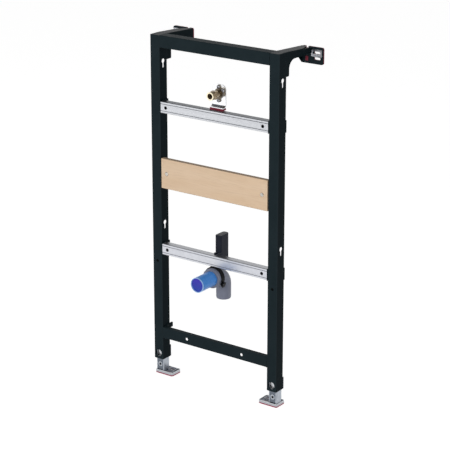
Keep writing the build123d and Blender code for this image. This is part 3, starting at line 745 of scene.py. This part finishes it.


# Plywood: long figure on the faces, thin plies on the edges, bores painted near white as painted light,
# and painted shade round each hole's mouth
def makePlywood():
    ply = {
        "pale": (0.800, 0.612, 0.440), "warm": (0.730, 0.528, 0.350),
        "figure": (2.6, 30.0, 30.0), "figureRange": (0.32, 0.68),
        "fibre": (0.560, 0.385, 0.245), "fibres": (22.0, 700.0, 700.0),
        "fibreRange": (0.52, 0.78), "fibreShare": 0.45,
        "edgeDark": (0.210, 0.145, 0.095), "edgePale": (0.440, 0.325, 0.225),
        "sheet": 0.00136, "glue": (0.4, 0.6),  # metres, one ply, and the shares where its tone turns
        "bore": (0.960, 0.930, 0.880), "boreFrom": (1.2, 1.1),  # hole radii
        "mouth": (0.200, 0.135, 0.085), "mouthFrom": (1.22, 1.08),
        "faceFrom": (0.75, 0.95),  # how far a face looks forwards or back
        "rough": (0.52, 0.68), "shine": 0.3, "bump": (0.15, 0.0004),
    }
    holes = mounts["board_holes"]
    middle, _, holeHeight = holes["pos_m"]
    holeShift = holes["dims"]["spacing_x_mm"] / (2.0 * perMetre)
    holeRadius = holes["dims"]["hole_r_mm"] / perMetre
    finish, tree, skin, place = startFinish("birchPly")
    figure = noise(tree, stretch(tree, place, ply["figure"]), 1.0, detail=5.0, roughness=0.6)
    fibres = noise(tree, stretch(tree, place, ply["fibres"]), 1.0, detail=3.0)
    marks = calculate(tree, "MULTIPLY", spread(tree, fibres, *ply["fibreRange"]), ply["fibreShare"])
    face = blendColours(tree, spread(tree, figure, *ply["figureRange"]), ply["pale"], ply["warm"])
    face = blendColours(tree, marks, face, ply["fibre"])
    along = splitVector(tree, place)
    plies = calculate(tree, "PINGPONG", along["Y"], ply["sheet"])
    layer = spread(tree, plies, *(share * ply["sheet"] for share in ply["glue"]))
    edge = blendColours(tree, layer, ply["edgeDark"], ply["edgePale"])
    edge = blendColours(tree, marks, edge, ply["fibre"])
    off = calculate(
        tree, "MINIMUM",
        axisDistance(tree, along, middle - holeShift, holeHeight),
        axisDistance(tree, along, middle + holeShift, holeHeight),
    )
    # The pale bore is painted light, and the dark ring round each hole on the face is painted shade
    inBore = spread(tree, off, *(radii * holeRadius for radii in ply["boreFrom"]))
    inMouthShade = spread(tree, off, *(radii * holeRadius for radii in ply["mouthFrom"]))
    edge = blendColours(tree, inBore, edge, ply["bore"])
    face = blendColours(tree, inMouthShade, face, ply["mouth"])
    flat = spread(tree, calculate(tree, "ABSOLUTE", facingAxes(tree)["Y"]), *ply["faceFrom"])
    feed(tree, skin["Base Color"], blendColours(tree, flat, edge, face))
    feed(tree, skin["Roughness"], spread(tree, fibres, *noiseRange, *ply["rough"]))
    skin["Specular IOR Level"].default_value = ply["shine"]
    feed(tree, skin["Normal"], bump(tree, fibres, *ply["bump"]))
    return finish


finishes = {
    "blackCoat": makeBlackCoat("blackCoat", blackCoat),
    "armCoat": makeBlackCoat("armCoat", armCoat),
    **{name: makeZinc(name, zinc) for name, zinc in zincBatches.items()},
    "castBrass": makeBrass(),
    **{name: makeMoulded(name, moulded) for name, moulded in mouldedBatches.items()},
    "blueCap": makeBlueCap(),
    "birchPly": makePlywood(),
}
print("finishes made:", len(finishes))

# Which finish each piece of the frame wears, by the end of its name; the first that fits counts
wornFinish = {
    "post": "blackCoat", "bar": "blackCoat", "clip": "blackCoat", "tab": "blackCoat",
    "arm": "armCoat", "wall_plate": "blackCoat",
    "upper_rail": "upperRailZinc", "lower_rail": "lowerRailZinc",
    "foot_plate": "footZinc", "leg": "legZinc", "lock": "footZinc",
    "washer": "washerZinc", "foot_pad": "footRubber", "pad": "wallRubber", "guide": "blackMoulded",
    "mounting_board": "birchPly", "supply_bracket": "brightZinc", "supply_elbow": "castBrass",
    "supply_screws": "screwZinc", "drain_elbow": "greyDrain", "drain_cap": "blueCap",
    "drain_clamp": "clampBlack", "drain_holder": "blackMoulded",
}


def dressNodes():
    for nodeName, node in cadNodes.items():
        ending = next(end for end in wornFinish if nodeName.endswith(end))
        for place in node.material_slots:
            place.material = finishes[wornFinish[ending]]


dressNodes()
print("pieces dressed")

# Small fasteners and details, placed by the record's mounts and by the boxes of what carries them
sharpAngle = 32.0  # degrees between faces, past which an edge stays sharp
roundSteps = 96  # points round a screw or bolt


def addPiece(name, grids, finish):
    mesh = surfaceMesh(name, grids)
    piece = showMesh(name, mesh, finishes[finish])
    mesh.set_sharp_from_angle(angle=math.radians(sharpAngle))
    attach(piece, "frame")
    return piece


# A profile turned round an axis along y: with the radius r and the height h for each row i and
# angle a, point(i, a) = (x + r cos a, y + side h, z + r sin a); the axis closes both ends
def turnProfile(centre, radius, height, side):
    radius, height = np.broadcast_arrays(radius, height)
    angle = turnAngles(radius.shape[1])
    points = np.stack(
        [
            centre[0] + radius * np.cos(angle),
            centre[1] + side * height,
            centre[2] + radius * np.sin(angle),
        ],
        axis=-1,
    )
    ends = [(centre[0], centre[1] + side * h, centre[2]) for h in (height[0].mean(), height[-1].mean())]
    return closeGrid(points, wrapAcross=True, poles=((0, ends[0]), (-1, ends[1])))


# Domed head with a cross recess: h = wall + dome sqrt(1 - (r / R)^2) - depth m, where the mask m is
# 1 inside either arm, min(|r cos a|, |r sin a|) < half an arm's width, and fades out at their reach
headRings = {"outer": 0.99, "inner": 0.03, "count": 22}  # shares of the head's radius


def screwHead(centre, side, screw):
    angle = turnAngles(roundSteps)
    rings = np.linspace(headRings["outer"], headRings["inner"], headRings["count"])
    share = np.concatenate([[1.0, 1.0], rings])[:, None]
    radius = screw["radius"] * share + 0.0 * angle
    across = np.minimum(np.abs(radius * np.cos(angle)), np.abs(radius * np.sin(angle)))
    arm = np.clip((screw["armWidth"] / 2 - across) / screw["soft"] + 0.5, 0.0, 1.0)
    reach = np.clip((screw["armReach"] - radius) / screw["soft"] + 0.5, 0.0, 1.0)
    dome = screw["dome"] * np.sqrt(1.0 - share**2)
    height = screw["wall"] + dome - screw["depth"] * arm * reach
    height[0] = 0.0
    return turnProfile(centre, radius, height, side)


# Three heads on the elbow's lugs: two stand one above the other, and the third, to their right, is
# as far from the point midway between them, so rise^2 = lug radius^2 - across^2
def makeSupplyScrews():
    screw = {
        "plainRadius": 0.0045,  # of the plain heads that these replace
        "radius": 0.0056, "wall": 0.0015, "dome": 0.0025,
        "armWidth": 0.0014, "armReach": 0.0032, "depth": 0.0014, "soft": 0.0003,
    }
    low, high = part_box("supply_screws")
    left, right = low[0] + screw["plainRadius"], high[0] - screw["plainRadius"]
    bottom, top = low[2] + screw["plainRadius"], high[2] - screw["plainRadius"]
    lugRadius = (top - bottom) / 2
    rise = math.sqrt(lugRadius**2 - (right - left) ** 2)
    centres = ((left, bottom), (left, top), (right, (top + bottom) / 2 + rise))
    heads = [screwHead((x, high[1], z), -1.0, screw) for x, z in centres]
    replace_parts(addPiece("supplyScrewHeads", heads, "screwZinc"), "supply_screws")


# Two heads at the back of each angle behind the board
def makeTabScrews():
    screw = {
        "radius": 0.0042, "wall": 0.0009, "dome": 0.0017,
        "armWidth": 0.0012, "armReach": 0.0024, "depth": 0.0012, "soft": 0.0003,
        "inset": 0.0080,  # metres from the angle's open end
        "spread": 0.022,  # above and below the middle
        "sheet": 0.003,  # of the angle
    }
    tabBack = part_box("mounting_board")[1][1] + screw["sheet"]
    heads = []
    for node, toMiddle in (("left_board_tab", 1), ("right_board_tab", 0)):
        low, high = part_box(node)
        openEnd = (low, high)[toMiddle][0]
        x = openEnd - screw["inset"] if toMiddle else openEnd + screw["inset"]
        middle = (low[2] + high[2]) / 2
        for z in (middle - screw["spread"], middle + screw["spread"]):
            heads.append(screwHead((x, tabBack, z), 1.0, screw))
    addPiece("tabScrews", heads, "screwZinc")


# Hexagon with half width w: r(a) = w / cos(a'), a' = a folded into one side; the cone that chamfers
# its corners lies at h(r) = top - (r - flat) tan chamfer
def makeClipBolts():
    bolt = {
        "halfWidth": 0.0065, "flat": 0.0061, "top": 0.0070, "chamfer": 30.0,  # degrees
        "washerRadius": 0.0082, "washer": 0.0016, "rounded": 0.0003,
    }
    angle = turnAngles(roundSteps)
    side = np.pi / 3.0
    hexagon = bolt["halfWidth"] / np.cos((angle + side / 2) % side - side / 2)
    shoulder = bolt["top"] - (hexagon - bolt["flat"]) * math.tan(math.radians(bolt["chamfer"]))
    headRadius = np.stack([hexagon, hexagon, 0.0 * hexagon + bolt["flat"]])
    headHeight = np.stack([0.0 * hexagon + bolt["washer"], shoulder, 0.0 * hexagon + bolt["top"]])
    rim = bolt["washerRadius"] - bolt["rounded"]
    washerRadius = np.array([[bolt["washerRadius"]], [bolt["washerRadius"]], [rim]]) + 0.0 * angle
    washerHeight = np.array([[0.0], [bolt["washer"] - bolt["rounded"]], [bolt["washer"]]])
    grids = []
    for postSide in ("left", "right"):
        low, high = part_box(f"{postSide}_post")
        for rail in ("upper", "lower"):
            clipLow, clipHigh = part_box(f"{rail}_{postSide}_clip")
            centre = ((low[0] + high[0]) / 2, clipHigh[1], (clipLow[2] + clipHigh[2]) / 2)
            grids.append(turnProfile(centre, washerRadius, washerHeight, 1.0))
            grids.append(turnProfile(centre, headRadius, headHeight, 1.0))
    addPiece("clipBolts", grids, "screwZinc")


# Near-black ring round each rail hole, painted shade that makes the dark hole look wider, a flat ring:
# point(a, b) = (R cos a, proud sin b, R sin a), R = hole radius + thick (1 + cos b)
def makeHoleShadeRings():
    rim = {"thick": 0.0006, "proud": 0.0005, "stepsAround": 64, "stepsAcross": 12}
    around, along = np.meshgrid(
        turnAngles(rim["stepsAround"]), turnAngles(rim["stepsAcross"]), indexing="ij",
    )
    grids = []
    for name in ("upper_rail_holes", "lower_rail_holes"):
        x, y, z = mounts[name]["pos_m"]
        sizes = mounts[name]["dims"]
        ring = sizes["hole_r_mm"] / perMetre + rim["thick"] * (1.0 + np.cos(along))
        halfSpacing = sizes["spacing_x_mm"] / (2.0 * perMetre)
        for shift in (-halfSpacing, halfSpacing):
            points = np.stack(
                [
                    x + shift + ring * np.cos(around),
                    y + rim["proud"] * np.sin(along),
                    z + ring * np.sin(around),
                ],
                axis=-1,
            )
            grids.append(closeGrid(points, wrapAlong=True, wrapAcross=True))
    addPiece("railHoleRims", grids, "rimZinc")


# Thread in the socket, a ridge along a screw line: with u from 0 to 1 and the section's corners k,
# a = 2 pi turns u, point = (r cos a, start + pitch turns u + shift_k f, r sin a), where f(u) fades
# the ridge out over half a turn at both ends and r goes from the wall to the crest by f
def makeSocketThread():
    thread = {
        "pitch": 0.0018, "height": 0.0009, "buried": 0.0002, "turns": 7.0, "stepsPerTurn": 60,
        "foot": 0.0015, "crest": 0.0004, "start": 0.0012, "leastFade": 0.02,
    }
    x, y, z = mounts["supply_socket"]["pos_m"]
    sizes = mounts["supply_socket"]["dims"]
    front = y - sizes["length_mm"] / (2.0 * perMetre)
    wall = sizes["r_mm"] / perMetre + thread["buried"]
    share = np.linspace(0.0, 1.0, int(thread["turns"] * thread["stepsPerTurn"]))[:, None]
    fade = np.clip(2.0 * thread["turns"] * np.minimum(share, 1.0 - share), thread["leastFade"], 1.0)
    shift = np.array([-thread["foot"], -thread["crest"], thread["crest"], thread["foot"]]) / 2.0
    onCrest = np.array([0.0, 1.0, 1.0, 0.0])
    radius = wall - (thread["height"] + thread["buried"]) * fade * onCrest
    angle = 2.0 * np.pi * thread["turns"] * share
    depth = front + thread["start"] + thread["pitch"] * thread["turns"] * share + shift * fade
    points = np.stack([x + radius * np.cos(angle), depth, z + radius * np.sin(angle)], axis=-1)
    ends = ((0, points[0].mean(axis=0)), (-1, points[-1].mean(axis=0)))
    addPiece("socketThread", [closeGrid(points, wrapAcross=True, poles=ends)], "castBrass")


makeSupplyScrews()
makeTabScrews()
makeClipBolts()
makeHoleShadeRings()
makeSocketThread()
print("small pieces made")
